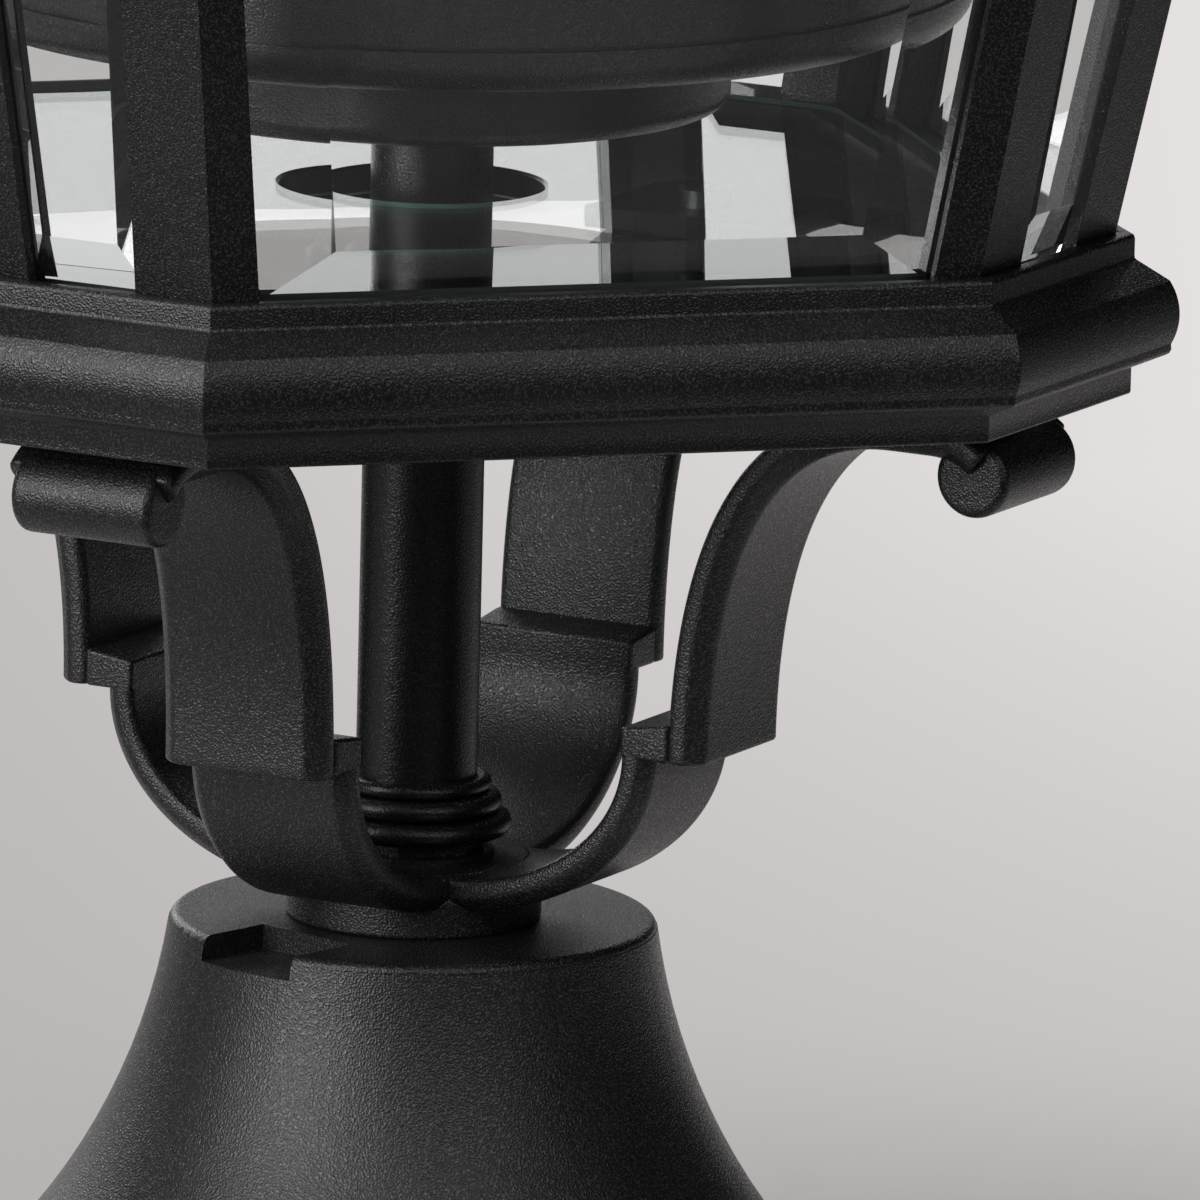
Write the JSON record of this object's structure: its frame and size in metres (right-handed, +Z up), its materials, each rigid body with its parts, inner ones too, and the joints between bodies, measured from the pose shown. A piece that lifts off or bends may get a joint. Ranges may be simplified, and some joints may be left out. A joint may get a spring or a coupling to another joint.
{
  "type": "pedestal lantern",
  "caption": "Black pedestal lantern with a flared pedestal, a scrolled yoke, a moulded eight-sided ring, a bevelled glass cage, a central stem with a lamp pan and a lift-off roof with a finial.",
  "frame": {"origin": "centre of the pedestal's foot, in the plane that it stands on", "axes": "+Z up along the stem; the cage's front wide side faces -Y and +X is to the right of it"},
  "size_m": [0.281, 0.281, 0.5419],
  "materials": {
    "black_cast": "fine-textured semi-gloss black powder coat",
    "black_spun": "satin black paint",
    "black_fasteners": "satin black",
    "zinc_plate": "zinc plated",
    "bright_steel": "zinc plated",
    "brass_thread": "plain",
    "bevelled_glass": "clear, polished",
    "floor_glass": "clear with a green edge",
    "lampholder": "matt",
    "candle_sleeve": "satin ivory",
    "lamp_bulb": "frosted",
    "rubber_seal": "matt black"
  },
  "bodies": {
    "lantern": {"bell_pedestal": "black_cast", "mounting_plate": "zinc_plate", "side_screws": "black_fasteners", "threaded_pipe": "brass_thread", "bell_washer": "bright_steel", "bell_nut": "brass_thread", "yoke": "black_cast", "hub_washer": "black_fasteners", "hub_nut": "black_fasteners", "bead_ring": "black_spun", "stem_cup": "black_spun", "stem_ferrule": "black_spun", "stem_tube": "black_spun", "stem_collar": "black_spun", "ring_screws": "bright_steel", "lower_ring": "black_cast", "floor_glass": "floor_glass", "cage_frame": "black_cast", "cage_screws": "bright_steel", "pane_front": "bevelled_glass", "pane_right": "bevelled_glass", "pane_back": "bevelled_glass", "pane_left": "bevelled_glass", "pane_front_right": "bevelled_glass", "pane_back_right": "bevelled_glass", "pane_back_left": "bevelled_glass", "pane_front_left": "bevelled_glass", "glazing_beads": "black_cast", "pan_dish": "black_spun", "lamp_pan": "black_spun", "pan_nut": "brass_thread", "pan_cover": "black_spun", "lampholder_1": "lampholder", "lampholder_2": "lampholder", "lampholder_3": "lampholder", "candle_sleeve_1": "candle_sleeve", "candle_sleeve_2": "candle_sleeve", "candle_sleeve_3": "candle_sleeve", "lamp_1": "lamp_bulb", "lamp_2": "lamp_bulb", "lamp_3": "lamp_bulb", "roof_bridge": "bright_steel", "bridge_screws": "bright_steel", "finial_stud": "bright_steel", "roof_gasket": "rubber_seal"},
    "roof": {"roof": "black_cast", "roof_cap": "black_cast"},
    "finial": {"finial": "black_cast"}
  },
  "joints": [
    {"name": "roof_lift", "type": "slide", "parent": "lantern", "child": "roof", "axis": [0, 0, 1], "range_m": [0, 0.12]},
    {"name": "finial_turn", "type": "hinge", "parent": "roof", "child": "finial", "pos_m": [0, 0, 0.5], "axis": [0, 0, 1], "continuous": true}
  ]
}
